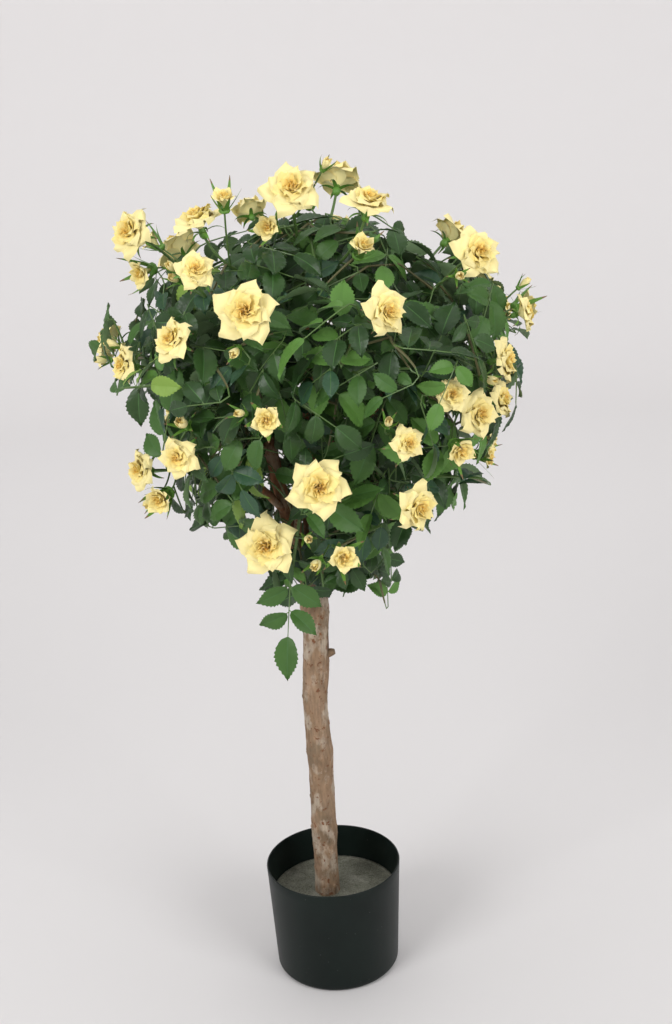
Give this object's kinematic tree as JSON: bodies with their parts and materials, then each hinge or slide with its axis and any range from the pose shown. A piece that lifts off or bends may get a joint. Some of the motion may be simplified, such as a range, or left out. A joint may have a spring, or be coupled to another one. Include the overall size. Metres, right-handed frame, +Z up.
{
  "type": "artificial standard rose bush in a pot",
  "caption": "Artificial standard rose bush: a round crown of cream-yellow roses and dark green leaves on a natural wood stem, set in cement in a plain dark plastic pot.",
  "frame": {"origin": "middle of the pot's flat underside", "axes": "+Z up along the pot's axis, -Y towards the front"},
  "size_m": [0.4332, 0.4244, 0.8719],
  "materials": {
    "pot_plastic": "satin injection-moulded plastic, very dark green-black",
    "cement": "rough cast cement, grey with paler specks",
    "bark": "natural bark, grey-brown with paler patches",
    "foliage": "printed polyester leaves, dark green with a soft sheen; petals cream-yellow"
  },
  "bodies": {
    "root": {"pot": "pot_plastic", "cement": "cement", "trunk": "bark", "bough_left": "bark", "bough_right": "bark", "bough_back": "bark", "branch_left_middle": "bark", "branch_left_low": "bark", "branch_front_low": "bark", "branch_back_left": "bark", "branch_front_high": "bark", "branch_right_middle": "bark", "branch_right_low": "bark", "branch_back_right": "bark", "branch_back_middle": "bark", "branch_back_low": "bark", "branch_top": "bark", "foliage_left": "foliage", "foliage_left_middle": "foliage", "foliage_left_low": "foliage", "foliage_front_low": "foliage", "foliage_back_left": "foliage", "foliage_right": "foliage", "foliage_front_high": "foliage", "foliage_right_middle": "foliage", "foliage_right_low": "foliage", "foliage_back_right": "foliage", "foliage_back": "foliage", "foliage_back_middle": "foliage", "foliage_back_low": "foliage", "foliage_top": "foliage"}
  },
  "joints": []
}
